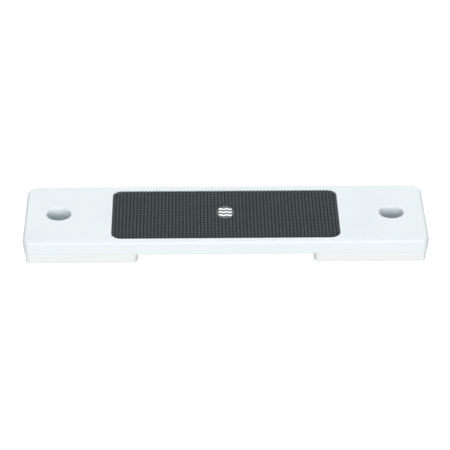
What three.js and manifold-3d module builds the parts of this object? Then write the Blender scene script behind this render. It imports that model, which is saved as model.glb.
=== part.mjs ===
// Bolt-down step board for a swimming pool: a ribbed white moulding with a black studded mat, stiffened by
// two steel tubes and carried by a screwed-on block under each end. Millimetres, +X along the board,
// +Y away from the user, +Z up. The origin is the middle of the footprint, on the supporting surface.
import * as THREE from "three";
import { mergeVertices } from "three/addons/utils/BufferGeometryUtils.js";
import Module from "manifold-3d";

const wasm = await Module();
wasm.setup();

// ---- Driving dimensions ----

// Board
const boardLength = 500;
const boardWidth = 138;
const boardThickness = 19.8;
const frontCornerRadius = 9;
const backCornerRadius = 16;
const topFillet = 4;
const bottomFillet = 0.8;
const boardDraft = 5.5; // degrees by which the outer walls lean in towards the bottom
const boardWall = 3.2;
const recessFloor = 3; // plate left under the mat
const ribThickness = 2.4;
const ribPitch = 31; // the ribs across the board stand about this far apart
const ribSetback = 1; // the ribs stop short of the rim that seats on the blocks

// Mat and its recess
const matEndMargin = 108.5; // from the board's end to the recess
const matFrontMargin = 7.4; // from the board's front face to the recess
const matBackMargin = 11.4;
const matThickness = 2.4;
const matBelow = 1; // from the board's top down to the tops of the mat's studs
const matCornerRadius = 13;
const matClearance = 0.4; // all round, in the recess
const adhesiveThickness = 0.3;
const adhesiveMargin = 3; // the film stops short of the mat's edge

// Badge near the middle of the mat
const badgeLength = 22; // along the board
const badgeWidth = 31;
const badgeSetback = 5.7; // from the mat's middle towards the back
const badgeThickness = 1.3;
const badgeClearance = 0.2;
const waveMargin = 0.46; // from the ends of the outer bars to the badge's edge
const waveHeight = 1.8; // from crest to trough of the middle line
const waveStroke = 3.2;
const wavePitch = 7.4;
const waveThickness = 0.35;

// Blocks under the ends
const blockHeight = 12.7;
const blockLength = 139;
const blockInset = 1.3; // from the board's bottom edge
const blockDraft = 4;
const blockWall = 3;
const blockFloor = 3;
const blockInnerRadius = 8;
const blockOuterRadius = 5;
const blockRib = 2.4;

// Bolt recesses and the sleeves that take the bolts' load
const boltEndDistance = 42; // from the board's end to the bolt's axis
const recessDiameter = 30;
const recessRim = 2; // fillet round the mouth
const bossWall = 3.5;
const boltSeatHeight = 7.5; // thickness of block under the bolt's head
const boltHoleDiameter = 13;
const sleeveWall = 1.8;
const sleeveClearance = 0.1;

// Stiffener tubes, square, one on each side of the bolts
const tubeWall = 1.5;
const tubeClearance = 0.4;
const tubeEndGap = 6; // from the tube's end to the board's end wall
const tubeCorner = 1.8;

// Screws that hold the blocks to the board, four to a block
const screwDiameter = 4.2;
const screwHeadDiameter = 9;
const screwHeadHeight = 3;
const screwDomeHeight = 2.1; // the rounded part of the head
const screwFlatDiameter = 5; // on the crown of the head
const screwInset = 15.5; // from the block's faces to the screw's axis
const screwHeadDepth = 1.5; // the head lies below the block's face
const screwClearance = 0.15;
const screwBossWall = 2.4;
const pilotExtra = 1; // the pilot hole runs past the screw's tip, up to the height of the cavity
const driveSlotLength = 4.6;
const driveSlotWidth = 1.1;
const driveSlotDepth = 1.7;

// General
const contactGap = 0.05; // between pieces that rest on each other
const joinOverlap = 0.05; // solids that make one piece run this far into each other
const mergeDistance = 1e-4;
const smallestRadius = 0.2;
const cutMargin = 2; // a cutter stands this far out of the face it cuts
const arcSteps = 4; // pairs of steps in each corner arc
const roundSteps = 48; // steps round a bore
const screwSteps = 20;
const filletSteps = 5;
const waveSteps = 24;
const tubeCornerSteps = 4;

// ---- Worked out from them ----

const quarterTurn = Math.PI / 2;
const boardBottom = blockHeight + contactGap;
const boardTop = boardBottom + boardThickness;
const draftInset = Math.tan(THREE.MathUtils.degToRad(boardDraft)) * (boardThickness - topFillet);
const matTop = boardTop - matBelow;
const matBottom = matTop - matThickness;
const recessBottom = matBottom - adhesiveThickness - 2 * contactGap;
const cavityTop = recessBottom - recessFloor;
const boltX = boardLength / 2 - boltEndDistance;
const bossRadius = recessDiameter / 2 + bossWall;

// The recess for the mat, and the badge in the mat.
const recessBounds = {
  left: -boardLength / 2 + matEndMargin,
  right: boardLength / 2 - matEndMargin,
  front: -boardWidth / 2 + matFrontMargin,
  back: boardWidth / 2 - matBackMargin,
};
const badgeY = (recessBounds.front + recessBounds.back) / 2 + badgeSetback;
const badgeBottom = matTop - badgeThickness;
// From the badge's middle to the outer bars' far edges.
const waveReach = wavePitch + (waveHeight + waveStroke) / 2;
const badgeLengthThere = badgeLength * Math.sqrt(1 - (2 * waveReach / badgeWidth) ** 2);
const waveLength = badgeLengthThere - 2 * waveMargin;
// The rim of the board's underside, from which the blocks and the cavity are set in.
const rim = {
  left: -boardLength / 2 + draftInset,
  right: boardLength / 2 - draftInset,
  front: -boardWidth / 2 + draftInset,
  back: boardWidth / 2 - draftInset,
};
// The block under the right end; the left one is its mirror image.
const blockBounds = {
  left: rim.right - blockInset - blockLength,
  right: rim.right - blockInset,
  front: rim.front + blockInset,
  back: rim.back - blockInset,
};
const screwX = [blockBounds.left + screwInset, blockBounds.right - screwInset];
const screwY = blockBounds.back - screwInset;
const screwSeat = screwHeadDepth + screwHeadHeight;
const screwTip = cavityTop - pilotExtra;
const screwBore = screwDiameter + 2 * screwClearance;
const counterbore = screwHeadDiameter + 4 * screwClearance;
const boardScrewBoss = screwBore / 2 + screwBossWall;
const blockScrewBoss = counterbore / 2 + screwBossWall;
const tubeSide = cavityTop - boardBottom - 2 * tubeClearance;
const tubeY = (bossRadius + screwY - boardScrewBoss) / 2;
const tubeLength = 2 * (rim.right - boardWall - tubeEndGap);

// ---- Materials ----

function finish(colour, roughness, metalness = 0) {
  return new THREE.MeshStandardMaterial({ color: colour, roughness, metalness });
}

const whitePlastic = finish(0xe9eff2, 0.38);
const blockPlastic = finish(0xecebea, 0.5);
const blackRubber = finish(0x34393b, 0.75);
const badgePlastic = finish(0x1b1e20, 0.4);
const badgeInlay = finish(0xf2f4f5, 0.45);
const adhesive = finish(0xd9d3c0, 0.6);
const stainless = finish(0xb9bcbe, 0.3, 1);

// ---- Making and cutting solids ----

function toSolid(geometry) {
  const bare = new THREE.BufferGeometry().setAttribute("position", geometry.getAttribute("position"));
  bare.setIndex(geometry.index);
  const merged = mergeVertices(bare, mergeDistance);
  return new wasm.Manifold(
    new wasm.Mesh({
      numProp: 3,
      vertProperties: new Float32Array(merged.attributes.position.array),
      triVerts: new Uint32Array(merged.index.array),
    }),
  );
}

function toGeometry(solid) {
  const { numProp, vertProperties, triVerts } = solid.getMesh();
  const positions = [];
  for (let i = 0; i < vertProperties.length; i += numProp) {
    positions.push(...vertProperties.subarray(i, i + 3));
  }
  const geometry = new THREE.BufferGeometry();
  geometry.setAttribute("position", new THREE.Float32BufferAttribute(positions, 3));
  geometry.setIndex([...triVerts]);
  geometry.computeVertexNormals();
  return geometry;
}

const joined = (solids) => solids.reduce((all, solid) => all.add(solid));

function named(name, solid, material) {
  const mesh = new THREE.Mesh(toGeometry(solid), material);
  mesh.name = name;
  return mesh;
}

// A rectangle with arcs at its corners. The radii run front left, front right, back right, back left.
function roundedRectangle(bounds, radii, inset = 0) {
  const { left, right, front, back } = bounds;
  const [frontLeft, frontRight, backRight, backLeft] = radii.map((radius) =>
    Math.max(radius - inset, smallestRadius),
  );
  const x0 = left + inset;
  const x1 = right - inset;
  const y0 = front + inset;
  const y1 = back - inset;
  const shape = new THREE.Shape();
  shape.absarc(x1 - frontRight, y0 + frontRight, frontRight, -quarterTurn, 0);
  shape.absarc(x1 - backRight, y1 - backRight, backRight, 0, quarterTurn);
  shape.absarc(x0 + backLeft, y1 - backLeft, backLeft, quarterTurn, 2 * quarterTurn);
  shape.absarc(x0 + frontLeft, y0 + frontLeft, frontLeft, 2 * quarterTurn, 3 * quarterTurn);
  return shape;
}

// A closed solid through a stack of outlines with the same number of points, lowest first.
function stack(levels) {
  const rings = levels.map(({ shape, z }) => shape.getPoints(arcSteps).map(({ x, y }) => [x, y, z]));
  const count = rings[0].length;
  const indices = [];
  for (let level = 0; level < rings.length - 1; level += 1) {
    for (let i = 0; i < count; i += 1) {
      const next = (i + 1) % count;
      const low = level * count;
      const high = low + count;
      indices.push(low + i, low + next, high + next, low + i, high + next, high + i);
    }
  }
  const last = (rings.length - 1) * count;
  const cap = (level) => THREE.ShapeUtils.triangulateShape(level.shape.getPoints(arcSteps), []);
  cap(levels[0]).forEach(([a, b, c]) => indices.push(c, b, a));
  cap(levels.at(-1)).forEach(([a, b, c]) => indices.push(last + a, last + b, last + c));
  const geometry = new THREE.BufferGeometry();
  geometry.setAttribute("position", new THREE.Float32BufferAttribute(rings.flat(2), 3));
  geometry.setIndex(indices);
  return toSolid(geometry);
}

// The levels of a quarter-round along a bottom or top edge, lowest first.
function filletLevels(outline, radius, z, atTop, extraInset = 0) {
  const levels = [];
  for (let step = 0; step <= filletSteps; step += 1) {
    const angle = (step / filletSteps) * quarterTurn;
    const rise = radius * (atTop ? Math.sin(angle) : 1 - Math.cos(angle));
    const inset = radius * (1 - (atTop ? Math.cos(angle) : Math.sin(angle)));
    levels.push({ shape: outline(inset + extraInset), z: z + rise });
  }
  return levels;
}

// A prism of a shape from one height to another.
function prism(shape, bottom, top) {
  const geometry = new THREE.ExtrudeGeometry(shape, {
    depth: top - bottom,
    bevelEnabled: false,
    curveSegments: 2 * arcSteps,
  });
  return toSolid(geometry.translate(0, 0, bottom));
}

function box([x0, x1], [y0, y1], [z0, z1]) {
  const geometry = new THREE.BoxGeometry(x1 - x0, y1 - y0, z1 - z0);
  return toSolid(geometry.translate((x0 + x1) / 2, (y0 + y1) / 2, (z0 + z1) / 2));
}

// A solid of revolution about a vertical axis through (x, y). The profile is radius and height, from the
// axis at the bottom to the axis at the top.
function revolved(profile, x, y, steps = roundSteps) {
  const points = profile.map(([radius, height]) => new THREE.Vector2(radius, height));
  const geometry = new THREE.LatheGeometry(points, steps);
  return toSolid(geometry.rotateX(quarterTurn).translate(x, y, 0));
}

function cylinder(radius, bottom, top, x, y, steps = roundSteps) {
  const profile = [
    [0, bottom],
    [radius, bottom],
    [radius, top],
    [0, top],
  ];
  return revolved(profile, x, y, steps);
}

// ---- Board ----

const blockSides = [-1, 1];
const screwPlaces = screwX.flatMap((x) => [-screwY, screwY].map((y) => [x, y]));

function boardOutline(inset) {
  const bounds = {
    left: -boardLength / 2,
    right: boardLength / 2,
    front: -boardWidth / 2,
    back: boardWidth / 2,
  };
  return roundedRectangle(
    bounds,
    [frontCornerRadius, frontCornerRadius, backCornerRadius, backCornerRadius],
    inset,
  );
}

function boardBody() {
  return stack([
    ...filletLevels(boardOutline, bottomFillet, boardBottom, false, draftInset),
    ...filletLevels(boardOutline, topFillet, boardTop - topFillet, true),
  ]);
}

// The mat's recess. The mat and its film are the same outline, set in.
function recessOutline(inset) {
  return roundedRectangle(recessBounds, Array(4).fill(matCornerRadius), inset);
}

// The mouth of the bolt recess is flared by its rim fillet.
function recessCutter(x) {
  const radius = recessDiameter / 2;
  const rimArc = [];
  for (let step = 0; step <= filletSteps; step += 1) {
    const angle = (step / filletSteps) * quarterTurn;
    rimArc.push([
      radius + recessRim * (1 - Math.cos(angle)),
      boardTop - recessRim * (1 - Math.sin(angle)),
    ]);
  }
  const bottom = boardBottom - cutMargin;
  const top = boardTop + cutMargin;
  return revolved([[0, bottom], [radius, bottom], ...rimArc, [radius + recessRim, top], [0, top]], x, 0);
}

// The ribs and bosses run up into the top plate; the cut for the mat trims what stands in its recess.
const ribTop = boardTop - boardWall + joinOverlap;

function boardRibs() {
  const bottom = boardBottom + ribSetback;
  const inside = { x: rim.right - boardWall + joinOverlap, y: rim.back - boardWall + joinOverlap };
  const ribs = [];
  const bays = Math.max(2, Math.round((2 * inside.x) / ribPitch));
  for (let i = 1; i < bays; i += 1) {
    const x = -inside.x + (i / bays) * 2 * inside.x;
    ribs.push(box([x - ribThickness / 2, x + ribThickness / 2], [-inside.y, inside.y], [bottom, ribTop]));
  }
  // A rib down the middle, and one on each side of each tube.
  const channel = tubeSide / 2 + tubeClearance + ribThickness / 2;
  const lines = [0, ...[-1, 1].flatMap((side) => [side * (tubeY - channel), side * (tubeY + channel)])];
  lines.forEach((y) => {
    ribs.push(box([-inside.x, inside.x], [y - ribThickness / 2, y + ribThickness / 2], [bottom, ribTop]));
  });
  return joined(ribs);
}

// The hollow under the top plate. It is taller beyond the mat's recess, where the plate isn't lowered.
function boardCavity() {
  const shape = boardOutline(draftInset + boardWall);
  const low = prism(shape, boardBottom - cutMargin, cavityTop);
  const tall = prism(shape, cavityTop - joinOverlap, boardTop - boardWall);
  const underRecess = [recessBounds.left - boardWall, recessBounds.right + boardWall];
  const across = [-boardWidth, boardWidth];
  return low.add(tall.subtract(box(underRecess, across, [boardBottom, boardTop])));
}

function treadBoard() {
  const bosses = blockSides.flatMap((side) => [
    cylinder(bossRadius, boardBottom, ribTop, side * boltX, 0),
    ...screwPlaces.map(([x, y]) => cylinder(boardScrewBoss, boardBottom, ribTop, side * x, y, screwSteps)),
  ]);
  const tubeRoom = tubeSide / 2 + tubeClearance;
  const tubeReach = tubeLength / 2 + tubeClearance;
  const cutters = [
    prism(recessOutline(0), recessBottom, boardTop + cutMargin),
    ...blockSides.map((side) => recessCutter(side * boltX)),
    ...blockSides.flatMap((side) =>
      screwPlaces.map(([x, y]) =>
        cylinder(screwBore / 2, boardBottom - cutMargin, cavityTop, side * x, y, screwSteps),
      ),
    ),
    ...[-tubeY, tubeY].map((y) =>
      box([-tubeReach, tubeReach], [y - tubeRoom, y + tubeRoom], [boardBottom - cutMargin, cavityTop]),
    ),
  ];
  const ribbed = boardBody().subtract(boardCavity()).add(boardRibs()).add(joined(bosses));
  return named("tread_board", ribbed.subtract(joined(cutters)), whitePlastic);
}

// ---- Mat and badge ----

function badgeShape(growth) {
  const shape = new THREE.Shape();
  shape.absellipse(0, badgeY, badgeLength / 2 + growth, badgeWidth / 2 + growth, 0, 4 * quarterTurn);
  return shape;
}

function nonSlipMat() {
  const pocket = prism(badgeShape(badgeClearance), badgeBottom - contactGap, matTop + cutMargin);
  const slab = prism(recessOutline(matClearance), matBottom, matTop);
  return named("non_slip_mat", slab.subtract(pocket), blackRubber);
}

function matAdhesive() {
  const bottom = recessBottom + contactGap;
  const film = prism(recessOutline(matClearance + adhesiveMargin), bottom, bottom + adhesiveThickness);
  return named("mat_adhesive_film", film, adhesive);
}

function centreBadge() {
  const plate = prism(badgeShape(0), badgeBottom, matTop - waveThickness - contactGap);
  return named("centre_badge", plate, badgePlastic);
}

// One wavy bar: a band of even width about two periods of a sine line.
function badgeWave(name, y) {
  const upper = [];
  const lower = [];
  for (let i = 0; i <= waveSteps; i += 1) {
    const share = i / waveSteps;
    const x = (share - 0.5) * waveLength;
    const middle = y + (waveHeight / 2) * Math.sin(share * 8 * quarterTurn);
    upper.push(new THREE.Vector2(x, middle + waveStroke / 2));
    lower.push(new THREE.Vector2(x, middle - waveStroke / 2));
  }
  const shape = new THREE.Shape([...lower, ...upper.reverse()]);
  return named(name, prism(shape, matTop - waveThickness, matTop), badgeInlay);
}

// ---- Blocks, sleeves, tubes and screws ----

const blockRadii = [blockInnerRadius, blockOuterRadius, blockOuterRadius, blockInnerRadius];

function blockOutline(inset) {
  return roundedRectangle(blockBounds, blockRadii, inset);
}

// The right block, with its open side up.
function rightBlock() {
  const lean = Math.tan(THREE.MathUtils.degToRad(blockDraft)) * (blockHeight - bottomFillet);
  const body = stack([
    ...filletLevels(blockOutline, bottomFillet, 0, false, lean),
    { shape: blockOutline(0), z: blockHeight },
  ]);
  const hollow = body.subtract(prism(blockOutline(lean + blockWall), blockFloor, blockHeight + cutMargin));

  const inside = {
    x: [blockBounds.left + blockWall, blockBounds.right - blockWall],
    y: [blockBounds.front + blockWall, blockBounds.back - blockWall],
  };
  const ribHeight = [blockFloor - joinOverlap, blockHeight - ribSetback];
  const across = [screwX[0], boltX, (screwX[0] + boltX - bossRadius) / 2].map((x) =>
    box([x - blockRib / 2, x + blockRib / 2], inside.y, ribHeight),
  );
  const along = [-screwY, 0, screwY].map((y) =>
    box(inside.x, [y - blockRib / 2, y + blockRib / 2], ribHeight),
  );
  const bosses = [
    cylinder(bossRadius, joinOverlap, blockHeight, boltX, 0),
    ...screwPlaces.map(([x, y]) => cylinder(blockScrewBoss, joinOverlap, blockHeight, x, y, screwSteps)),
  ];
  const sleeveBore = boltHoleDiameter / 2 + sleeveWall + sleeveClearance;
  const cutters = [
    cylinder(recessDiameter / 2, boltSeatHeight, blockHeight + cutMargin, boltX, 0),
    cylinder(sleeveBore, -cutMargin, boltSeatHeight + cutMargin, boltX, 0),
    ...screwPlaces.flatMap(([x, y]) => [
      cylinder(screwBore / 2, -cutMargin, blockHeight + cutMargin, x, y, screwSteps),
      cylinder(counterbore / 2, -cutMargin, screwSeat, x, y, screwSteps),
    ]),
  ];
  return hollow
    .add(joined([...across, ...along, ...bosses]))
    .subtract(joined(cutters));
}

function rightSleeve() {
  const radius = boltHoleDiameter / 2;
  return cylinder(radius + sleeveWall, contactGap, boltSeatHeight, boltX, 0)
    .subtract(cylinder(radius, -cutMargin, boltSeatHeight + cutMargin, boltX, 0));
}

function stiffenerTube(name, y) {
  const half = tubeSide / 2;
  const square = (inset, radius) =>
    roundedRectangle({ left: -half, right: half, front: -half, back: half }, Array(4).fill(radius), inset);
  const section = square(0, tubeCorner);
  section.holes.push(square(tubeWall, tubeCorner));
  const geometry = new THREE.ExtrudeGeometry(section, {
    depth: tubeLength,
    bevelEnabled: false,
    curveSegments: tubeCornerSteps,
  });
  geometry.translate(0, 0, -tubeLength / 2).rotateY(quarterTurn);
  geometry.translate(0, y, boardBottom + tubeClearance + half);
  return named(name, toSolid(geometry), stainless);
}

// Pan-head screw, head down, with a crossed drive recess.
function blockScrew(name, x, y) {
  const seat = screwSeat - contactGap;
  const head = screwHeadDiameter / 2;
  const shank = screwDiameter / 2;
  const flat = screwFlatDiameter / 2;
  const dome = [];
  for (let step = 0; step <= filletSteps; step += 1) {
    const angle = (step / filletSteps) * quarterTurn;
    dome.push([
      flat + (head - flat) * Math.sin(angle),
      screwHeadDepth + screwDomeHeight * (1 - Math.cos(angle)),
    ]);
  }
  const body = revolved(
    [[0, screwHeadDepth], ...dome, [head, seat], [shank, seat], [shank, screwTip - 2 * shank], [0, screwTip]],
    x,
    y,
    screwSteps,
  );
  const slotZ = [screwHeadDepth - cutMargin, screwHeadDepth + driveSlotDepth];
  const arm = [-driveSlotLength / 2, driveSlotLength / 2];
  const blade = [-driveSlotWidth / 2, driveSlotWidth / 2];
  const at = (range, centre) => range.map((value) => value + centre);
  const drive = box(at(arm, x), at(blade, y), slotZ).add(box(at(blade, x), at(arm, y), slotZ));
  return named(name, body.subtract(drive), stainless);
}

// ---- Assembly ----

const treadStep = new THREE.Group();
treadStep.add(treadBoard(), matAdhesive(), nonSlipMat(), centreBadge());
["front", "middle", "back"].forEach((row, i) => {
  treadStep.add(badgeWave(`badge_wave_${row}`, badgeY + (i - 1) * wavePitch));
});
treadStep.add(stiffenerTube("stiffener_tube_front", -tubeY), stiffenerTube("stiffener_tube_back", tubeY));

const block = rightBlock();
const sleeve = rightSleeve();
blockSides.forEach((side) => {
  const end = side < 0 ? "left" : "right";
  const onSide = (solid) => (side < 0 ? solid.mirror([1, 0, 0]) : solid);
  treadStep.add(named(`end_block_${end}`, onSide(block), blockPlastic));
  treadStep.add(named(`bolt_sleeve_${end}`, onSide(sleeve), stainless));
  screwPlaces.forEach(([x, y], i) => {
    treadStep.add(blockScrew(`block_screw_${end}_${i + 1}`, side * x, y));
  });
});

export default treadStep;
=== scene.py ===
import math
import bpy
import bmesh
from mathutils import Matrix, Vector


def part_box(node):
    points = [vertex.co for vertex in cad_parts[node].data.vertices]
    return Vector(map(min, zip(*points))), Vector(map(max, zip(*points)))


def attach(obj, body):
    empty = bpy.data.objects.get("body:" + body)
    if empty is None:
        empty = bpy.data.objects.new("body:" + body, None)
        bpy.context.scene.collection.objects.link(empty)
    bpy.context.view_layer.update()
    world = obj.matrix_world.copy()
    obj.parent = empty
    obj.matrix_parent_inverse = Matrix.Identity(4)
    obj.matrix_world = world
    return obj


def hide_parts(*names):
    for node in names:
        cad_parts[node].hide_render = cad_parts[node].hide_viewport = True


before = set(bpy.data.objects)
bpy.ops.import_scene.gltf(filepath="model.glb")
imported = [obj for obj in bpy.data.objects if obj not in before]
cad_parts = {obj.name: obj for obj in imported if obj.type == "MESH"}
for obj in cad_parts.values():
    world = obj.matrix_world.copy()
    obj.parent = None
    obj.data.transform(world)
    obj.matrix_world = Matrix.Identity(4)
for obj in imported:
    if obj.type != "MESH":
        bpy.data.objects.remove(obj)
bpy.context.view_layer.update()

# A bolt-down pool step board: white moulded board, studded mat, two end blocks, steel inside.
# Sizes are in metres and come from the frame; mm turns the millimetres written below into metres.
mm = 0.001
quarter = math.pi / 2
cutPast = 1 * mm  # how far a cutting tool runs past the face it cuts
smallestRadius = 0.5 * mm
mergeDistance = 0.0001 * mm


def span(node):
    low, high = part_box(node)
    return Vector(low), Vector(high)


# colours are written as sRGB hex, and the sizes of texture patterns in millimetres
def hexColour(code):  # sRGB hex to linear, with alpha
    parts = [int(code[i:i + 2], 16) / 255 for i in (1, 3, 5)]
    return tuple(c / 12.92 if c <= 0.04045 else ((c + 0.055) / 1.055) ** 2.4 for c in parts) + (1.0,)


def addNode(tree, kind, inputs, **settings):  # inputs are values or the sockets to link from
    node = tree.nodes.new(kind)
    for key, value in settings.items():
        setattr(node, key, value)
    for key, value in inputs.items():
        if isinstance(value, bpy.types.NodeSocket):
            tree.links.new(value, node.inputs[key])
        else:
            node.inputs[key].default_value = value
    return node


def startMaterial(name, **shaderValues):
    material = bpy.data.materials.new(name)
    material.use_nodes = True
    tree = material.node_tree
    shader = tree.nodes["Principled BSDF"]
    for key, value in shaderValues.items():
        shader.inputs[key.replace("_", " ")].default_value = value
    place = addNode(tree, "ShaderNodeTexCoord", {}).outputs["Object"]
    return material, tree, shader, place


def perMm(size):  # texture scale that gives features of this many millimetres
    return 1 / (size * mm)


# shapes are rings of points, lofted into closed meshes; a rounded ring runs anticlockwise from its
# front left corner, and so do its radii
def roundedRing(x0, x1, y0, y1, radii, steps, z):
    corners = [(x0, y0, 1, 1), (x1, y0, -1, 1), (x1, y1, -1, -1), (x0, y1, 1, -1)]
    points = []
    for i, ((x, y, inX, inY), radius) in enumerate(zip(corners, radii)):
        for step in range(steps + 1):
            angle = math.pi + (i + step / steps) * quarter
            across, along = inX + math.cos(angle), inY + math.sin(angle)
            points.append(Vector((x + radius * across, y + radius * along, z)))
    return points


def circleRing(x, y, radius, z, steps, stretch=1.0):
    turns = [i / steps * 4 * quarter for i in range(steps)]
    return [Vector((x + radius * math.cos(a), y + radius * stretch * math.sin(a), z)) for a in turns]


def loft(bm, rings, closeLow=True, closeHigh=True):  # rings from the bottom up, all with as many points
    rows = [[bm.verts.new(p) for p in ring] for ring in rings]
    count = len(rows[0])
    for low, high in zip(rows, rows[1:]):
        for i in range(count):
            j = (i + 1) % count
            bm.faces.new((low[i], low[j], high[j], high[i]))
    if closeLow:
        bm.faces.new(rows[0][::-1])
    if closeHigh:
        bm.faces.new(rows[-1])


def quarterRound(radius, steps):  # (inset, rise) from the upright wall to the flat
    turns = [i / steps * quarter for i in range(steps + 1)]
    return [(radius * (1 - math.cos(a)), radius * math.sin(a)) for a in turns]


def looseObject(name, bm):
    mesh = bpy.data.meshes.new(name)
    bmesh.ops.recalc_face_normals(bm, faces=bm.faces)
    bm.to_mesh(mesh)
    bm.free()
    loose = bpy.data.objects.new(name, mesh)
    bpy.context.collection.objects.link(loose)
    return loose


def carve(body, tool, operation="DIFFERENCE"):  # exact boolean, applied at once; the tool is used up
    change = body.modifiers.new("carve", "BOOLEAN")
    change.operation = operation
    change.solver = "EXACT"
    change.object = tool
    graph = bpy.context.evaluated_depsgraph_get()
    result = bpy.data.meshes.new_from_object(body.evaluated_get(graph))
    body.modifiers.clear()
    body.data = result
    bpy.data.objects.remove(tool)


def finishPiece(piece, material, nodes, sharpAngle=35):
    mesh = piece.data
    mesh.materials.clear()
    mesh.materials.append(material)
    mesh.shade_smooth()
    mesh.set_sharp_from_angle(angle=math.radians(sharpAngle))
    weighted = piece.modifiers.new("evenNormals", "WEIGHTED_NORMAL")
    weighted.keep_sharp = True
    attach(piece, "root")
    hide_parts(*nodes)
    return piece


# the camera: a long lens, well back
cameraLook = {
    "lens": 192.3,
    "distance": 3.008,
    "elevation": 30.3,
    "azimuth": 0.94,
    "roll": 0.09,
    "sensor": 36,
    "farthest": 50,
    "aim": (-0.0003, 0.0, 0.01467),
    "from": (0.0, 0.0, 0.03255),  # the distance is measured from the middle of the board's top
}


def makeCamera(look):
    turn, rise = math.radians(look["azimuth"]), math.radians(look["elevation"])
    back = Vector((-math.sin(turn) * math.cos(rise), -math.cos(turn) * math.cos(rise), math.sin(rise)))
    data = bpy.data.cameras.new("studioCamera")
    data.sensor_width = look["sensor"]
    data.lens = look["lens"]
    data.clip_end = look["farthest"]
    camera = bpy.data.objects.new("studioCamera", data)
    bpy.context.collection.objects.link(camera)
    camera.location = Vector(look["from"]) + back * look["distance"]
    place = Matrix.Translation(camera.location)
    aimed = (Vector(look["aim"]) - camera.location).to_track_quat("-Z", "Y").to_matrix().to_4x4()
    roll = Matrix.Rotation(math.radians(look["roll"]), 4, "Z")
    camera.matrix_world = place @ aimed @ roll
    bpy.context.scene.camera = camera


makeCamera(cameraLook)
print("camera is set")


# the board: a hollow moulding, ribbed underneath
boardLook = {
    "topRound": 4 * mm,
    "rimRound": 1.3 * mm,
    "frontCorner": 9 * mm,
    "backCorner": 16 * mm,
    "draft": 5.5,  # degrees
    "wall": 3.2 * mm,
    "cornerSteps": 20,
    "roundSteps": 12,
    "rimSteps": 4,
    "recessCorner": 13 * mm,
    "recessLip": 0.4 * mm,  # rounded mouth of the mat's recess
    "recessGap": 0.4 * mm,  # round the mat
    "recessSteps": 16,
    "lipSteps": 6,
    "filmGap": 0.05 * mm,  # under the mat's film
    "holeRadius": 15 * mm,
    "holeRound": 2 * mm,
    "holeFromEnd": 42 * mm,
    "holeSteps": 96,
    "ribPitch": 31 * mm,
    "ribThick": 2.4 * mm,
    "tubeGap": 0.4 * mm,  # round the tubes
    "channelCorner": 1 * mm,
    "pocketCorner": 2.2 * mm,
    "pocketDraft": 0.35 * mm,  # how far each pocket wall leans in over its height
    "pocketRound": 1 * mm,
    "pocketSteps": 4,
    "bossWall": 3.5 * mm,
    "screwInset": 15.5 * mm,
    "screwBore": 2.25 * mm,
    "screwBossWall": 2.4 * mm,
    "screwBossLean": 0.3 * mm,
    "screwBossRise": 0.8 * mm,  # above the tubes
    "screwBossSteps": 32,
    "screwBoreSteps": 24,
    "ejectorRadius": 3 * mm,
    "ejectorDepth": 0.25 * mm,
    "ejectorReach": 0.6 * mm,  # of the marks' cutter, below the ceiling
    "ejectorRows": (12 * mm, 51 * mm),
    "ejectorSteps": 32,
}
boardLow, boardHigh = span("tread_board")
matLow, matHigh = span("non_slip_mat")
filmLow, filmHigh = span("mat_adhesive_film")
tubeLow, tubeHigh = span("stiffener_tube_back")
blockLow, blockHigh = span("end_block_right")
holeX = boardHigh.x - boardLook["holeFromEnd"]
tubeY = (tubeLow.y + tubeHigh.y) / 2
tubeRoom = (tubeHigh.y - tubeLow.y) / 2 + boardLook["tubeGap"]
lowCeiling = tubeHigh.z + boardLook["tubeGap"]
screwXs = (blockLow.x + boardLook["screwInset"], blockHigh.x - boardLook["screwInset"])
screwY = blockHigh.y - boardLook["screwInset"]
draftRise = boardHigh.z - boardLow.z - boardLook["topRound"]
boardDraftInset = math.tan(math.radians(boardLook["draft"])) * draftRise
insideX = boardHigh.x - boardDraftInset - boardLook["wall"]
insideY = boardHigh.y - boardDraftInset - boardLook["wall"]


def boardRing(inset, z, look):
    corners = (look["frontCorner"], look["frontCorner"], look["backCorner"], look["backCorner"])
    radii = [max(r - inset, smallestRadius) for r in corners]
    return roundedRing(boardLow.x + inset, boardHigh.x - inset, boardLow.y + inset, boardHigh.y - inset,
                       radii, look["cornerSteps"], z)


def boardSkin(look):
    bm = bmesh.new()
    rings = []
    for inset, rise in reversed(quarterRound(look["rimRound"], look["rimSteps"])):
        rings.append(boardRing(boardDraftInset + inset, boardLow.z + look["rimRound"] - rise, look))
    for inset, rise in quarterRound(look["topRound"], look["roundSteps"]):
        rings.append(boardRing(inset, boardHigh.z - look["topRound"] + rise, look))
    loft(bm, rings)
    return looseObject("tread_board_skin", bm)


def pocket(bm, x0, x1, y0, y1, low, high, look):
    # a tapered pocket with round corners and a round root, cut up from below
    root, corner, steps = look["pocketRound"], look["pocketCorner"], look["pocketSteps"]
    rings = [roundedRing(x0, x1, y0, y1, [corner] * 4, steps, low)]
    for inset, rise in quarterRound(root, steps):
        i = look["pocketDraft"] + inset
        rings.append(roundedRing(x0 + i, x1 - i, y0 + i, y1 - i, [corner - inset] * 4, steps,
                                 high - root + rise))
    loft(bm, rings)


def lineCuts(low, high, pitch):  # rib lines spread evenly between two walls
    bays = round((high - low) / pitch)
    return [low + (high - low) * i / bays for i in range(bays + 1)]


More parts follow.
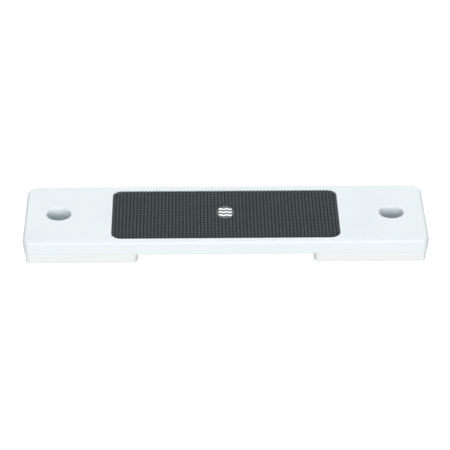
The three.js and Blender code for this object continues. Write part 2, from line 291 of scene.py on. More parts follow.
def boardPockets(look):
    bm = bmesh.new()
    half = look["ribThick"] / 2
    ribXs = lineCuts(-insideX, insideX, look["ribPitch"])
    channel = tubeRoom + look["ribThick"]
    rows = [(-insideY, -tubeY - channel), (-tubeY + channel, -half),
            (half, tubeY - channel), (tubeY + channel, insideY)]
    highCeiling = boardHigh.z - look["wall"]
    recessEnd = matHigh.x + look["wall"]
    for x0, x1 in zip(ribXs, ribXs[1:]):
        x0 = x0 + (0 if x0 == ribXs[0] else half)
        x1 = x1 - (0 if x1 == ribXs[-1] else half)
        beyondRecess = x0 > recessEnd or x1 < -recessEnd
        ceiling = highCeiling if beyondRecess else lowCeiling
        for y0, y1 in rows:
            pocket(bm, x0, x1, y0, y1, boardLow.z - cutPast, ceiling, look)
    pockets = looseObject("board_pockets", bm)
    # the outer pockets follow the board's rounded corners, a wall's thickness in
    bm = bmesh.new()
    inset = boardDraftInset + look["wall"]
    loft(bm, [boardRing(inset, z, look) for z in (boardLow.z - 2 * cutPast, boardHigh.z)])
    carve(pockets, looseObject("inside_of_walls", bm), "INTERSECT")
    return pockets


def tubeChannels(look):
    bm = bmesh.new()
    reach = tubeHigh.x + look["tubeGap"]
    corners = [look["channelCorner"]] * 4
    for side in (-1, 1):
        y = side * tubeY
        loft(bm, [roundedRing(-reach, reach, y - tubeRoom, y + tubeRoom, corners, look["pocketSteps"], z)
                  for z in (boardLow.z - cutPast, lowCeiling)])
    return looseObject("tube_channels", bm)


def boardBosses(look):
    bm = bmesh.new()
    top = boardHigh.z - look["wall"] / 2
    radius = look["holeRadius"] + look["bossWall"]
    for side in (-1, 1):
        loft(bm, [circleRing(side * holeX, 0, radius, z, look["holeSteps"]) for z in (boardLow.z, top)])
    return looseObject("bolt_bosses", bm)


def screwBosses(look):
    bm = bmesh.new()
    radius = look["screwBore"] + look["screwBossWall"]
    top = tubeHigh.z + look["screwBossRise"]
    for side in (-1, 1):
        for x in screwXs:
            for y in (-screwY, screwY):
                loft(bm, [circleRing(side * x, y, radius + lean, z, look["screwBossSteps"])
                          for lean, z in ((0, boardLow.z), (look["screwBossLean"], top))])
    return looseObject("screw_bosses", bm)


def boardCutters(look):
    bm = bmesh.new()
    gap, lip, steps = look["recessGap"], look["recessLip"], look["recessSteps"]

    def recessRing(flare, z):  # the mat's recess, opened out by the flare
        reach = gap + flare
        corners = [look["recessCorner"] + flare] * 4
        return roundedRing(matLow.x - reach, matHigh.x + reach, matLow.y - reach, matHigh.y + reach,
                           corners, steps, z)

    rings = [recessRing(0, filmLow.z - look["filmGap"])]
    for flare, rise in quarterRound(lip, look["lipSteps"]):
        rings.append(recessRing(flare, boardHigh.z - lip + rise))
    rings.append(recessRing(lip, boardHigh.z + 2 * cutPast))
    loft(bm, rings)
    for side in (-1, 1):  # bolt recesses, flared at the mouth
        profile = [(look["holeRadius"], boardLow.z - cutPast)]
        for inset, rise in quarterRound(look["holeRound"], look["roundSteps"]):
            profile.append((look["holeRadius"] + inset, boardHigh.z - look["holeRound"] + rise))
        profile.append((look["holeRadius"] + look["holeRound"], boardHigh.z + 2 * cutPast))
        loft(bm, [circleRing(side * holeX, 0, radius, z, look["holeSteps"]) for radius, z in profile])
        for x in screwXs:
            for y in (-screwY, screwY):
                loft(bm, [circleRing(side * x, y, look["screwBore"], z, look["screwBoreSteps"])
                          for z in (boardLow.z - cutPast, tubeHigh.z)])
    return looseObject("board_cutters", bm)


def ejectorMarks(look):  # shallow round dents that the mould's push pins leave in the pockets' ceilings
    bm = bmesh.new()
    ribXs = lineCuts(-insideX, insideX, look["ribPitch"])
    inner, outer = look["ejectorRows"]
    for i, (x0, x1) in enumerate(zip(ribXs, ribXs[1:])):
        x = (x0 + x1) / 2
        if abs(x) > blockLow.x:
            continue
        y = inner if i % 2 else outer
        for side in (-1, 1):
            loft(bm, [circleRing(x, side * y, look["ejectorRadius"], z, look["ejectorSteps"])
                      for z in (lowCeiling - look["ejectorReach"], lowCeiling + look["ejectorDepth"])])
    return looseObject("ejector_marks", bm)


# ABS, injection moulded and lightly spark-textured: white with a cool cast, a soft satin gloss,
# faint waves left by shrinking plastic, and small scuffs from handling
absLook = {
    "white": "#D6DDDF",
    "cool": "#D2DADD",
    "ior": 1.53,
    "roughLow": 0.46,
    "roughHigh": 0.58,
    "cloud": 55,  # mm, colour and gloss drift
    "grain": 1.3,  # mm; the real spark texture is near 0.2 mm, too fine to show, so it is coarser here
    "grainDepth": 0.003 * mm,
    "shrink": 38,  # mm, waves over the ribs
    "shrinkDepth": 0.05 * mm,
    "scuff": 2.2,  # mm
    "scuffDull": 0.12,  # roughness added by the strongest scuffs
}


def mouldedAbs(name, look):
    material, tree, shader, place = startMaterial(name, IOR=look["ior"])
    cloud = addNode(tree, "ShaderNodeTexNoise", {
        "Vector": place, "Scale": perMm(look["cloud"]), "Detail": 3.0})
    colour = addNode(tree, "ShaderNodeMix", {0: cloud.outputs["Fac"], 6: hexColour(look["white"]),
                                             7: hexColour(look["cool"])}, data_type="RGBA")
    tree.links.new(colour.outputs[2], shader.inputs["Base Color"])
    # scuffs: thin stretched patches where the gloss is duller
    stretched = addNode(tree, "ShaderNodeMapping", {
        "Vector": place, "Rotation": (0, 0, 0.5), "Scale": (0.15, 1, 1)})
    scuff = addNode(tree, "ShaderNodeTexNoise", {
        "Vector": stretched.outputs[0], "Scale": perMm(look["scuff"]), "Detail": 4.0, "Roughness": 0.7})
    scuffMask = addNode(tree, "ShaderNodeMapRange", {
        "Value": scuff.outputs["Fac"], "From Min": 0.62, "From Max": 0.74,
        "To Min": 0.0, "To Max": look["scuffDull"]})
    gloss = addNode(tree, "ShaderNodeMapRange", {
        "Value": cloud.outputs["Fac"], "From Min": 0.3, "From Max": 0.7,
        "To Min": look["roughLow"], "To Max": look["roughHigh"]})
    rough = addNode(tree, "ShaderNodeMath", {0: gloss.outputs[0], 1: scuffMask.outputs[0]}, operation="ADD")
    tree.links.new(rough.outputs[0], shader.inputs["Roughness"])
    grain = addNode(tree, "ShaderNodeTexNoise", {
        "Vector": place, "Scale": perMm(look["grain"]), "Detail": 2.0})
    shrink = addNode(tree, "ShaderNodeTexNoise", {
        "Vector": place, "Scale": perMm(look["shrink"]), "Detail": 1.0})
    waves = addNode(tree, "ShaderNodeBump", {
        "Height": shrink.outputs["Fac"], "Distance": look["shrinkDepth"], "Strength": 1.0})
    bump = addNode(tree, "ShaderNodeBump", {
        "Height": grain.outputs["Fac"], "Distance": look["grainDepth"], "Strength": 1.0,
        "Normal": waves.outputs[0]})
    tree.links.new(bump.outputs[0], shader.inputs["Normal"])
    return material


def makeBoard(look):
    board = boardSkin(look)
    board.name = "tread_board_shell"
    carve(board, boardPockets(look))
    carve(board, tubeChannels(look))
    carve(board, boardBosses(look), "UNION")
    carve(board, screwBosses(look), "UNION")
    carve(board, boardCutters(look))
    carve(board, ejectorMarks(look))
    finishPiece(board, mouldedAbs("mouldedWhiteAbs", absLook), ["tread_board"])
    print("board is moulded")


makeBoard(boardLook)


# the mat: a studded sheet, cut to fit its recess
matLook = {
    "pitch": 4.417 * mm,
    "studBase": 3.1 * mm,
    "studTop": 2.5 * mm,
    "studRound": 0.25 * mm,
    "studHeight": 1.35 * mm,
    "studSteps": 3,
    "corner": 12.6 * mm,
    "cornerSteps": 16,
    "badgeGap": 0.35 * mm,
    "badgeReach": 0.02 * mm,  # of the relief, below the badge
    "badgeSteps": 96,
    # painted shade: the colour down in the grooves, where the studs shade the sheet, and the paler top
    # colour on the studs
    "paintedGrooveShade": "#0E1112",
    "top": "#404B4F",
    "rough": 0.86,
    "paintedShadeDepth": 0.9 * mm,  # where the painted shade is darkest, below the studs' tops
    "topDepth": 0.1 * mm,  # where the painted shade is palest
    "wearPatch": 26,  # mm
    "speck": 0.7,  # mm; the rubber's real grain is near 0.1 mm, too fine to show, so it is coarser here
    "speckDepth": 0.03 * mm,
}
badgeLow, badgeHigh = span("centre_badge")


def studLines(low, high, look):  # both edges of every stud along one direction, running past both ends
    count = int((high - low) / look["pitch"]) + 3
    centres = [(low + high) / 2 + (i - (count - 1) / 2) * look["pitch"] for i in range(count)]
    return [c + side * look["studBase"] / 2 for c in centres for side in (-1, 1)]


def studdedSheet(look):  # an endless sheet, before it is cut: a slab whose top carries square studs
    bm = bmesh.new()
    floor = matHigh.z - look["studHeight"]
    xs, ys = studLines(matLow.x, matHigh.x, look), studLines(matLow.y, matHigh.y, look)
    grid = [[bm.verts.new((x, y, floor)) for y in ys] for x in xs]
    studs = []
    for i in range(len(xs) - 1):
        for j in range(len(ys) - 1):
            face = bm.faces.new((grid[i][j], grid[i + 1][j], grid[i + 1][j + 1], grid[i][j + 1]))
            if i % 2 == 0 and j % 2 == 0:
                studs.append(face)
    edge = [e for e in bm.edges if e.is_boundary]
    skirt = bmesh.ops.extrude_edge_only(bm, edges=edge)["geom"]
    for v in skirt:
        if isinstance(v, bmesh.types.BMVert):
            v.co.z = matLow.z
    bmesh.ops.holes_fill(bm, edges=[e for e in bm.edges if e.is_boundary], sides=0)
    # raise the studs in steps, so that each has sloping sides and a rounded top
    slope = (look["studBase"] - look["studTop"]) / 2
    shoulder = look["studHeight"] - look["studRound"]
    profile = [(slope / 2, shoulder)]
    for inset, rise in quarterRound(look["studRound"], look["studSteps"])[1:]:
        profile.append((slope / 2 + inset, shoulder + rise))
    half = look["studBase"] / 2
    before = (0.0, 0.0)
    for inset, rise in profile:
        shrink = (half - inset) / (half - before[0])
        studs = bmesh.ops.extrude_discrete_faces(bm, faces=studs)["faces"]
        for face in studs:
            middle = face.calc_center_median()
            for v in face.verts:
                v.co = middle + (v.co - middle) * shrink
                v.co.z += rise - before[1]
        before = (inset, rise)
    return looseObject("non_slip_mat_sheet", bm)


def makeMat(look):
    mat = studdedSheet(look)
    # die-cut to its outline, straight through the studs
    bm = bmesh.new()
    corners = [look["corner"]] * 4
    loft(bm, [roundedRing(matLow.x, matHigh.x, matLow.y, matHigh.y, corners, look["cornerSteps"], z)
              for z in (matLow.z - cutPast, matHigh.z + cutPast)])
    carve(mat, looseObject("mat_die", bm), "INTERSECT")
    # and relieved for the badge
    bm = bmesh.new()
    middle = (badgeLow + badgeHigh) / 2
    radiusX = (badgeHigh.x - badgeLow.x) / 2 + look["badgeGap"]
    radiusY = (badgeHigh.y - badgeLow.y) / 2 + look["badgeGap"]
    loft(bm, [circleRing(middle.x, middle.y, radiusX, z, look["badgeSteps"], radiusY / radiusX)
              for z in (badgeLow.z - look["badgeReach"], matHigh.z + cutPast)])
    carve(mat, looseObject("badge_relief", bm))
    finishPiece(mat, studdedRubber(look), ["non_slip_mat"], sharpAngle=25)
    print("mat is cut")


# Synthetic rubber, compression moulded with square studs: nearly black and matt. Painted shade by height
# makes it darkest down in the grooves and greyest on the studs' tops, and the tops also vary in random worn
# patches
def studdedRubber(look):
    material, tree, shader, place = startMaterial("studdedRubber", IOR=1.52)
    # painted shade: the colour darkens with depth below the studs' tops, from the top colour down to the
    # groove colour
    height = addNode(tree, "ShaderNodeSeparateXYZ", {"Vector": place}).outputs["Z"]
    paintedShadeMask = addNode(tree, "ShaderNodeMapRange", {
        "Value": height, "From Min": matHigh.z - look["paintedShadeDepth"],
        "From Max": matHigh.z - look["topDepth"]})
    patch = addNode(tree, "ShaderNodeTexNoise", {
        "Vector": place, "Scale": perMm(look["wearPatch"]), "Detail": 4.0})
    worn = addNode(tree, "ShaderNodeMapRange", {
        "Value": patch.outputs["Fac"], "From Min": 0.3, "From Max": 0.7, "To Min": 0.86, "To Max": 1.0})
    mask = addNode(tree, "ShaderNodeMath", {0: paintedShadeMask.outputs[0], 1: worn.outputs[0]}, operation="MULTIPLY")
    colour = addNode(tree, "ShaderNodeMix", {0: mask.outputs[0], 6: hexColour(look["paintedGrooveShade"]),
                                             7: hexColour(look["top"])}, data_type="RGBA")
    tree.links.new(colour.outputs[2], shader.inputs["Base Color"])
    speck = addNode(tree, "ShaderNodeTexNoise", {
        "Vector": place, "Scale": perMm(look["speck"]), "Detail": 3.0})
    rough = addNode(tree, "ShaderNodeMapRange", {
        "Value": speck.outputs["Fac"], "From Min": 0.3, "From Max": 0.7,
        "To Min": look["rough"] - 0.08, "To Max": look["rough"] + 0.1})
    tree.links.new(rough.outputs[0], shader.inputs["Roughness"])
    bump = addNode(tree, "ShaderNodeBump", {
        "Height": speck.outputs["Fac"], "Distance": look["speckDepth"], "Strength": 0.8})
    tree.links.new(bump.outputs[0], shader.inputs["Normal"])
    return material


makeMat(matLook)


# the adhesive film under the mat
filmLook = {
    "corner": 6.6 * mm,
    "cornerSteps": 10,
    "edge": 0.08 * mm,
    "milky": "#D9D3C0",
    "clear": "#E4DFD0",
    "rough": 0.5,
    "milk": 9,  # mm
    "bubble": 5,  # mm
    "bubbleDepth": 0.05 * mm,
}


# Acrylic tape, cast on a liner and pressed flat: milky and dull, with trapped bubbles
def acrylicFilm(look):
    material, tree, shader, place = startMaterial("castAcrylicFilm", IOR=1.48, Roughness=look["rough"])
    milk = addNode(tree, "ShaderNodeTexNoise", {
        "Vector": place, "Scale": perMm(look["milk"]), "Detail": 3.0})
    colour = addNode(tree, "ShaderNodeMix", {0: milk.outputs["Fac"], 6: hexColour(look["milky"]),
                                             7: hexColour(look["clear"])}, data_type="RGBA")
    tree.links.new(colour.outputs[2], shader.inputs["Base Color"])
    bubbles = addNode(tree, "ShaderNodeTexVoronoi", {"Vector": place, "Scale": perMm(look["bubble"])})
    bump = addNode(tree, "ShaderNodeBump", {
        "Height": bubbles.outputs["Distance"], "Distance": look["bubbleDepth"], "Strength": 0.4})
    tree.links.new(bump.outputs[0], shader.inputs["Normal"])
    return material


def makeFilm(look):
    bm = bmesh.new()
    edge = look["edge"]
    rings = []
    for i, z in ((edge, filmLow.z), (0, filmLow.z + edge), (0, filmHigh.z - edge), (edge, filmHigh.z)):
        rings.append(roundedRing(filmLow.x + i, filmHigh.x - i, filmLow.y + i, filmHigh.y - i,
                                 [look["corner"] - i] * 4, look["cornerSteps"], z))
    loft(bm, rings)
    film = looseObject("adhesive_film_sheet", bm)
    finishPiece(film, acrylicFilm(look), ["mat_adhesive_film"])
    print("film is laid")


makeFilm(filmLook)


# the badge: an oval plate with three waves on it
badgeLook = {
    "edgeRound": 0.25 * mm,
    "edgeSteps": 5,
    "steps": 96,
    "black": "#22272A",
    "scratched": "#2E3437",
    "scratch": 0.5,  # mm; real hairlines are near 0.05 mm, too fine to show, so they are wider here
    "scratchDepth": 0.005 * mm,
    "waveHeight": 1.8 * mm,
    "waveStroke": 3.2 * mm,
    "waveTurns": 2,
    "waveSteps": 72,
    "waveShoulder": 0.15 * mm,  # the sides' drop below the dome's top
    "waveDome": 0.04 * mm,
    "waveDomeShare": 0.8,  # how far out the dome stays high
    "white": "#F6F8F9",
    "dirty": "#E4E8EA",
    "dirt": 1.5,  # mm
    "dirtDepth": 0.01 * mm,
}


# ABS, moulded in a polished tool: black and smooth, with hairline scratches
def polishedBlackAbs(look):
    material, tree, shader, place = startMaterial("polishedBlackAbs", IOR=1.53)
    drawn = addNode(tree, "ShaderNodeMapping", {
        "Vector": place, "Rotation": (0, 0, 0.9), "Scale": (0.06, 1, 1)})
    scratch = addNode(tree, "ShaderNodeTexNoise", {
        "Vector": drawn.outputs[0], "Scale": perMm(look["scratch"]), "Detail": 2.0})
    tint = addNode(tree, "ShaderNodeMix", {0: scratch.outputs["Fac"], 6: hexColour(look["black"]),
                                           7: hexColour(look["scratched"])}, data_type="RGBA")
    tree.links.new(tint.outputs[2], shader.inputs["Base Color"])
    rough = addNode(tree, "ShaderNodeMapRange", {
        "Value": scratch.outputs["Fac"], "From Min": 0.3, "From Max": 0.75, "To Min": 0.34, "To Max": 0.5})
    tree.links.new(rough.outputs[0], shader.inputs["Roughness"])
    bump = addNode(tree, "ShaderNodeBump", {
        "Height": scratch.outputs["Fac"], "Distance": look["scratchDepth"], "Strength": 0.5})
    tree.links.new(bump.outputs[0], shader.inputs["Normal"])
    return material


# ABS again, white and pressed into the badge: smooth, slightly domed, a little dirt in its grain
def whiteInlayAbs(look):
    material, tree, shader, place = startMaterial("whiteInlayAbs", IOR=1.53)
    dirt = addNode(tree, "ShaderNodeTexNoise", {
        "Vector": place, "Scale": perMm(look["dirt"]), "Detail": 4.0})
    colour = addNode(tree, "ShaderNodeMix", {0: dirt.outputs["Fac"], 6: hexColour(look["white"]),
                                             7: hexColour(look["dirty"])}, data_type="RGBA")
    tree.links.new(colour.outputs[2], shader.inputs["Base Color"])
    rough = addNode(tree, "ShaderNodeMapRange", {
        "Value": dirt.outputs["Fac"], "To Min": 0.32, "To Max": 0.5})
    tree.links.new(rough.outputs[0], shader.inputs["Roughness"])
    bump = addNode(tree, "ShaderNodeBump", {
        "Height": dirt.outputs["Fac"], "Distance": look["dirtDepth"], "Strength": 0.5})
    tree.links.new(bump.outputs[0], shader.inputs["Normal"])
    return material


def makeBadge(look):
    bm = bmesh.new()
    middle, half, steps = (badgeLow + badgeHigh) / 2, (badgeHigh - badgeLow) / 2, look["steps"]
    rings = [circleRing(middle.x, middle.y, half.x, badgeLow.z, steps, half.y / half.x)]
    for inset, rise in quarterRound(look["edgeRound"], look["edgeSteps"]):
        rings.append(circleRing(middle.x, middle.y, half.x - inset, badgeHigh.z - look["edgeRound"] + rise,
                                steps, (half.y - inset) / (half.x - inset)))
    loft(bm, rings)
    plate = looseObject("centre_badge_plate", bm)
    finishPiece(plate, polishedBlackAbs(look), ["centre_badge"])
    inlay = whiteInlayAbs(look)
    for row in ("front", "middle", "back"):
        makeWave(row, inlay, look)
    print("badge is set")


def makeWave(row, inlay, look):
    low, high = span("badge_wave_" + row)
    middleY = (low.y + high.y) / 2
    half = look["waveStroke"] / 2
    domeEnd = half * look["waveDomeShare"]
    domeRim, shoulder = high.z - look["waveDome"], high.z - look["waveShoulder"]
    # the section across the bar: upright sides and a shallow dome
    across = [(-half, low.z), (-half, shoulder), (-domeEnd, domeRim), (0, high.z),
              (domeEnd, domeRim), (half, shoulder), (half, low.z)]
    bm = bmesh.new()
    sections = []
    for i in range(look["waveSteps"] + 1):
        share = i / look["waveSteps"]
        x = low.x + share * (high.x - low.x)
        y = middleY + look["waveHeight"] / 2 * math.sin(share * look["waveTurns"] * 4 * quarter)
        sections.append([Vector((x, y + dy, z)) for dy, z in across])
    loft(bm, sections)
    bar = looseObject("badge_wave_bar_" + row, bm)
    finishPiece(bar, inlay, ["badge_wave_" + row], sharpAngle=50)


makeBadge(badgeLook)


# the end blocks: hollow from above, with bosses for the bolt and the screws
blockLook = {
    "outerCorner": 5 * mm,
    "innerCorner": 8 * mm,
    "cornerSteps": 14,
    "draft": 4,  # degrees
    "footRound": 1.2 * mm,
    "footSteps": 5,
    "topRound": 0.9 * mm,
    "topSteps": 4,
    "wall": 3 * mm,
    "floor": 3 * mm,
    "ribThick": 2.4 * mm,
    "pocketCorner": 1.5 * mm,
    "pocketSteps": 4,
    "seat": 7.5 * mm,
    "sleeveBore": 8.4 * mm,
    "sleeveMouth": 0.5 * mm,  # chamfers
    "screwMouth": 0.4 * mm,
    "boltSteps": 96,
    "counterbore": 4.8 * mm,
    "screwSeat": 4.5 * mm,
    "screwBoss": 7.2 * mm,
    "screwSteps": 40,
    "bossStart": 1 * mm,  # inside the floor, so that the bosses join it
}
# ABS from another batch, moulded in a coarser tool: a warmer, duller white than the board
blockAbsLook = {
    "white": "#D7DBD9",
    "cool": "#D3D7D5",
    "ior": 1.53,
    "roughLow": 0.52,
    "roughHigh": 0.64,
    "cloud": 40,
    "grain": 1.6,
    "grainDepth": 0.006 * mm,
    "shrink": 30,
    "shrinkDepth": 0.04 * mm,
    "scuff": 2.6,
    "scuffDull": 0.12,
}


def blockRing(side, inset, z, look):
    x0, x1 = blockLow.x + inset, blockHigh.x - inset
    inner = max(look["innerCorner"] - inset, smallestRadius)
    outer = max(look["outerCorner"] - inset, smallestRadius)
    radii = (inner, outer, outer, inner) if side > 0 else (outer, inner, inner, outer)
    if side < 0:
        x0, x1 = -x1, -x0
    return roundedRing(x0, x1, blockLow.y + inset, blockHigh.y - inset, radii, look["cornerSteps"], z)


def blockShell(side, lean, look):
    bm = bmesh.new()
    rings = []
    for inset, rise in reversed(quarterRound(look["footRound"], look["footSteps"])):
        rings.append(blockRing(side, lean + inset, blockLow.z + look["footRound"] - rise, look))
    for inset, rise in quarterRound(look["topRound"], look["topSteps"]):
        rings.append(blockRing(side, inset, blockHigh.z - look["topRound"] + rise, look))
    loft(bm, rings)
    return looseObject("end_block_shell", bm)


def blockPockets(side, lean, boltBoss, look):  # from above, split by ribs through the bolt and the screws
    bm = bmesh.new()
    half = look["ribThick"] / 2
    inner = lean + look["wall"]
    xs = [blockLow.x + inner, screwXs[0], (screwXs[0] + holeX - boltBoss) / 2, holeX, blockHigh.x - inner]
    ys = [blockLow.y + inner, -screwY, 0, screwY, blockHigh.y - inner]
    corners = [look["pocketCorner"]] * 4
    for i, (x0, x1) in enumerate(zip(xs, xs[1:])):
        for j, (y0, y1) in enumerate(zip(ys, ys[1:])):
            x0i, x1i = x0 + (half if i else 0), x1 - (half if i < len(xs) - 2 else 0)
            y0i, y1i = y0 + (half if j else 0), y1 - (half if j < len(ys) - 2 else 0)
            if side < 0:
                x0i, x1i = -x1i, -x0i
            loft(bm, [roundedRing(x0i, x1i, y0i, y1i, corners, look["pocketSteps"], z)
                      for z in (look["floor"], blockHigh.z + cutPast)])
    return looseObject("block_pockets", bm)


def blockBosses(side, boltBoss, look):
    bm = bmesh.new()
    levels = (look["bossStart"], blockHigh.z)
    loft(bm, [circleRing(side * holeX, 0, boltBoss, z, look["boltSteps"]) for z in levels])
    for x in screwXs:
        for y in (-screwY, screwY):
            loft(bm, [circleRing(side * x, y, look["screwBoss"], z, look["screwSteps"]) for z in levels])
    return looseObject("block_bosses", bm)


def blockBores(side, look):  # stepped and chamfered, for the bolt and the screws
    bm = bmesh.new()
    wide, narrow, mouth = boardLook["holeRadius"], look["sleeveBore"], look["sleeveMouth"]
    profile = [(narrow + mouth, -cutPast), (narrow + mouth, 0), (narrow, mouth), (narrow, look["seat"]),
               (wide, look["seat"]), (wide, blockHigh.z + cutPast)]
    loft(bm, [circleRing(side * holeX, 0, radius, z, look["boltSteps"]) for radius, z in profile])
    wide, narrow, mouth = look["counterbore"], boardLook["screwBore"], look["screwMouth"]
    profile = [(wide + mouth, -cutPast), (wide + mouth, 0), (wide, mouth), (wide, look["screwSeat"]),
               (narrow, look["screwSeat"]), (narrow, blockHigh.z + cutPast)]
    for x in screwXs:
        for y in (-screwY, screwY):
            loft(bm, [circleRing(side * x, y, radius, z, look["screwSteps"]) for radius, z in profile])
    return looseObject("block_bores", bm)


def makeBlock(side, material, look):
    name = "right" if side > 0 else "left"
    lean = math.tan(math.radians(look["draft"])) * (blockHigh.z - look["footRound"])
    boltBoss = boardLook["holeRadius"] + boardLook["bossWall"]
    block = blockShell(side, lean, look)
    block.name = "end_block_shell_" + name
    carve(block, blockPockets(side, lean, boltBoss, look))
    carve(block, blockBosses(side, boltBoss, look), "UNION")
    carve(block, blockBores(side, look))
    finishPiece(block, material, ["end_block_" + name])
    print("block is moulded:", name)


blockAbs = mouldedAbs("mouldedBlockAbs", blockAbsLook)
for side in (-1, 1):
    makeBlock(side, blockAbs, blockLook)


# the steel: two tubes, two sleeves and eight screws
steelLook = {
    "brushed": "#B9BCBE",
    "worn": "#A3A6A8",
    "roughLow": 0.26,
    "roughHigh": 0.42,
    "grain": 0.5,  # mm; real brush lines are near 0.1 mm, too fine to show, so they are wider here
    "grainDepth": 0.01 * mm,
    "alongTube": (0.02, 1, 1),
    "roundAxis": (1, 1, 6),
}


# Stainless steel 304: cool grey. The tubes are belt-brushed along their length; turned parts have
# rings round their axis
def stainless(name, stretch, look):
    material, tree, shader, place = startMaterial(name, Metallic=1.0)
    lines = addNode(tree, "ShaderNodeMapping", {"Vector": place, "Scale": stretch})
    brush = addNode(tree, "ShaderNodeTexNoise", {
        "Vector": lines.outputs[0], "Scale": perMm(look["grain"]), "Detail": 3.0})
    colour = addNode(tree, "ShaderNodeMix", {0: brush.outputs["Fac"], 6: hexColour(look["brushed"]),
                                             7: hexColour(look["worn"])}, data_type="RGBA")
    tree.links.new(colour.outputs[2], shader.inputs["Base Color"])
    rough = addNode(tree, "ShaderNodeMapRange", {
        "Value": brush.outputs["Fac"], "From Min": 0.3, "From Max": 0.7,
        "To Min": look["roughLow"], "To Max": look["roughHigh"]})
    tree.links.new(rough.outputs[0], shader.inputs["Roughness"])
    bump = addNode(tree, "ShaderNodeBump", {
        "Height": brush.outputs["Fac"], "Distance": look["grainDepth"], "Strength": 0.5})
    tree.links.new(bump.outputs[0], shader.inputs["Normal"])
    return material


tubeLook = {
    "wall": 1.5 * mm,
    "corner": 1.8 * mm,
    "insideCorner": 0.3 * mm,
    "chamfer": 0.2 * mm,
    "cornerSteps": 6,
}


def makeTube(row, material, look):
    low, high = span("stiffener_tube_" + row)
    wall, corner, inside, cut = look["wall"], look["corner"], look["insideCorner"], look["chamfer"]

    def square(inset, x, radius):
        ring = roundedRing(low.y + inset, high.y - inset, low.z + inset, high.z - inset,
                           [radius] * 4, look["cornerSteps"], 0)
        return [Vector((x, p.x, p.y)) for p in ring]

    # in at the bore, round the left end, along the outside and round the right end
    rings = [square(wall, low.x + cut, inside), square(wall - cut, low.x, inside + cut),
             square(cut, low.x, corner - cut), square(0, low.x + cut, corner),
             square(0, high.x - cut, corner), square(cut, high.x, corner - cut),
             square(wall - cut, high.x, inside + cut), square(wall, high.x - cut, inside)]
    bm = bmesh.new()
    loft(bm, rings + [rings[0]], closeLow=False, closeHigh=False)
    bmesh.ops.remove_doubles(bm, verts=bm.verts, dist=mergeDistance)
    tube = looseObject("stiffener_tube_" + row + "_steel", bm)
    finishPiece(tube, material, ["stiffener_tube_" + row])


sleeveLook = {
    "bore": 6.5 * mm,
    "chamfer": 0.3 * mm,
    "steps": 96,
}


def makeSleeve(name, material, look):
    low, high = span("bolt_sleeve_" + name)
    middleX, outer = (low.x + high.x) / 2, (high.x - low.x) / 2
    bore, cut = look["bore"], look["chamfer"]
    profile = [(bore, low.z + cut), (bore + cut, low.z), (outer - cut, low.z), (outer, low.z + cut),
               (outer, high.z - cut), (outer - cut, high.z), (bore + cut, high.z), (bore, high.z - cut)]
    rings = [circleRing(middleX, 0, radius, z, look["steps"]) for radius, z in profile]
    bm = bmesh.new()
    loft(bm, rings + [rings[0]], closeLow=False, closeHigh=False)
    bmesh.ops.remove_doubles(bm, verts=bm.verts, dist=mergeDistance)
    sleeve = looseObject("bolt_sleeve_" + name + "_turned", bm)
    finishPiece(sleeve, material, ["bolt_sleeve_" + name])


screwLook = {
    "perBlock": 4,
    "steps": 32,
    "pitch": 1.6 * mm,
    "core": 1.55 * mm,
    "crest": 2.1 * mm,
    "rowsPerTurn": 6,
    "ridgeSlope": 4,  # how steeply the thread rises from its root
    "headRadius": 4.5 * mm,
    "headHeight": 2.95 * mm,
    "headFlat": 0.5,  # share of the head's radius
    "domeHeight": 2.1 * mm,
    "domeSteps": 8,
    "headEdge": 0.15 * mm,
    "pointLength": 2.5 * mm,
    "pointRadius": 0.3 * mm,
    "driveLength": 4.6 * mm,
    "driveWidth": 1.1 * mm,
    "driveDepth": 1.7 * mm,
    "driveMouth": 1.05,  # the cross narrows from this scale above the head
    "driveEnd": 0.55,  # to this one at its root
}


def threadRing(x, y, z, row, fade, look):  # the ridge winds round as the height grows
    ring = []
    for i in range(look["steps"]):
        phase = (row / look["rowsPerTurn"] - i / look["steps"]) % 1.0
        ridge = max(0.0, 1 - abs(phase - 0.5) * look["ridgeSlope"]) * fade
        radius = look["core"] + (look["crest"] - look["core"]) * ridge
        turn = i / look["steps"] * 4 * quarter
        ring.append(Vector((x + radius * math.cos(turn), y + radius * math.sin(turn), z)))
    return ring


def crossDrive(x, y, head, look):
    bm = bmesh.new()
    long, wide = look["driveLength"] / 2, look["driveWidth"] / 2
    outline = [(wide, wide), (wide, long), (-wide, long), (-wide, wide), (-long, wide), (-long, -wide),
               (-wide, -wide), (-wide, -long), (wide, -long), (wide, -wide), (long, -wide), (long, wide)]
    levels = [(look["driveMouth"], head - cutPast), (1.0, head),
              (look["driveEnd"], head + look["driveDepth"])]
    loft(bm, [[Vector((x + dx * scale, y + dy * scale, z)) for dx, dy in outline] for scale, z in levels])
    return looseObject("cross_drive", bm)


def makeScrew(name, material, look):
    low, high = span(name)
    x, y = (low.x + high.x) / 2, (low.y + high.y) / 2
    steps, head, edge = look["steps"], look["headRadius"], look["headEdge"]
    seat = low.z + look["headHeight"]
    flat = head * look["headFlat"]
    rings = []
    for i in range(look["domeSteps"] + 1):  # the domed head, face down
        angle = i / look["domeSteps"] * quarter
        radius = flat + (head - flat) * math.sin(angle)
        rings.append(circleRing(x, y, radius, low.z + look["domeHeight"] * (1 - math.cos(angle)), steps))
    for radius, z in ((head, seat - edge), (head - edge, seat), (look["core"], seat)):
        rings.append(circleRing(x, y, radius, z, steps))
    rise = look["pitch"] / look["rowsPerTurn"]
    rows = int((high.z - look["pointLength"] - seat) / rise)
    for row in range(1, rows + 1):  # the thread fades in at the head and out at the point
        fade = min(1.0, row / look["rowsPerTurn"], (rows - row) / look["rowsPerTurn"])
        rings.append(threadRing(x, y, seat + row * rise, row, fade, look))
    rings.append(circleRing(x, y, look["pointRadius"], high.z, steps))
    bm = bmesh.new()
    loft(bm, rings)
    screw = looseObject(name + "_steel", bm)
    carve(screw, crossDrive(x, y, low.z, look))
    finishPiece(screw, material, [name], sharpAngle=40)


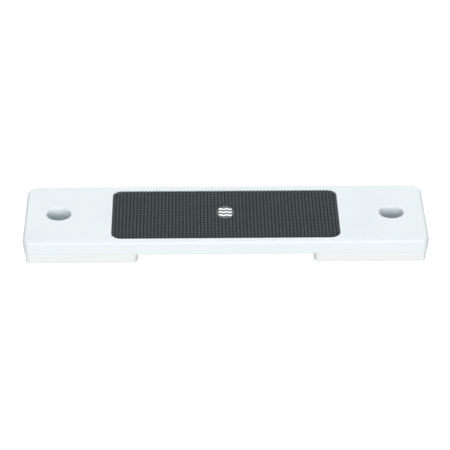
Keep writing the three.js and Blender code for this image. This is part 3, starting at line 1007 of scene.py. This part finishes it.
brushedTube = stainless("brushedStainless304", steelLook["alongTube"], steelLook)
turnedSteel = stainless("turnedStainless304", steelLook["roundAxis"], steelLook)
for row in ("front", "back"):
    makeTube(row, brushedTube, tubeLook)
for end in ("left", "right"):
    makeSleeve(end, turnedSteel, sleeveLook)
    for number in range(1, screwLook["perBlock"] + 1):
        makeScrew("block_screw_%s_%d" % (end, number), turnedSteel, screwLook)
print("steel is fitted")


# the studio: a glowing table, a big soft light and a fill on each side
studioLook = {
    "floorSize": 8.0,
    "floorHeight": -0.1 * mm,  # a hair under the feet, so that the two never coincide
    "floorColour": "#5C5E5E",
    "floorDrift": "#646565",
    "driftSize": 400,  # mm
    "floorRough": 0.7,
    "floorGlow": 0.955,
    "worldStrength": 0.25,
    "softboxSize": (5.0, 1.7),
    # name: place, power in watts
    "softboxes": {
        "frontSoftbox": ((0.0, -4.5, 1.05), 236),
        "frontFill": ((0.0, -4.0, 2.3), 26),
        "backSoftbox": ((0.0, 3.2, 3.2), 157),
        "backFill": ((0.0, 1.6, 4.4), 51),
    },
}


def areaLight(name, place, size, power):
    data = bpy.data.lights.new(name, "AREA")
    data.shape = "RECTANGLE"
    data.size, data.size_y = size
    data.energy = power
    lamp = bpy.data.objects.new(name, data)
    lamp.location = place
    lamp.rotation_euler = (-Vector(place)).to_track_quat("-Z", "Y").to_euler()
    bpy.context.collection.objects.link(lamp)


def makeStudio(look):
    bm = bmesh.new()
    half = look["floorSize"] / 2
    corners = ((-half, -half), (half, -half), (half, half), (-half, half))
    bm.faces.new([bm.verts.new((x, y, look["floorHeight"])) for x, y in corners])
    floor = looseObject("studioFloor", bm)
    # cast acrylic, lightly frosted: an even pale table, lit faintly from below
    material, tree, shader, place = startMaterial("paleAcrylicTable", IOR=1.49, Roughness=look["floorRough"])
    haze = addNode(tree, "ShaderNodeTexNoise", {
        "Vector": place, "Scale": perMm(look["driftSize"]), "Detail": 2.0})
    tone = addNode(tree, "ShaderNodeMix", {0: haze.outputs["Fac"], 6: hexColour(look["floorColour"]),
                                           7: hexColour(look["floorDrift"])}, data_type="RGBA")
    tree.links.new(tone.outputs[2], shader.inputs["Base Color"])
    shader.inputs["Emission Color"].default_value = (1, 1, 1, 1)
    shader.inputs["Emission Strength"].default_value = look["floorGlow"]
    floor.data.materials.append(material)
    floor.visible_diffuse = False  # the table stays white without filling the shade on the plastic
    world = bpy.data.worlds.new("studioWorld")
    world.use_nodes = True
    sky = world.node_tree.nodes["Background"]
    sky.inputs["Color"].default_value = (1, 1, 1, 1)
    sky.inputs["Strength"].default_value = look["worldStrength"]
    bpy.context.scene.world = world
    for name, (place, power) in look["softboxes"].items():
        areaLight(name, place, look["softboxSize"], power)
    bpy.context.scene.view_settings.view_transform = "Standard"
    print("studio is lit")


makeStudio(studioLook)
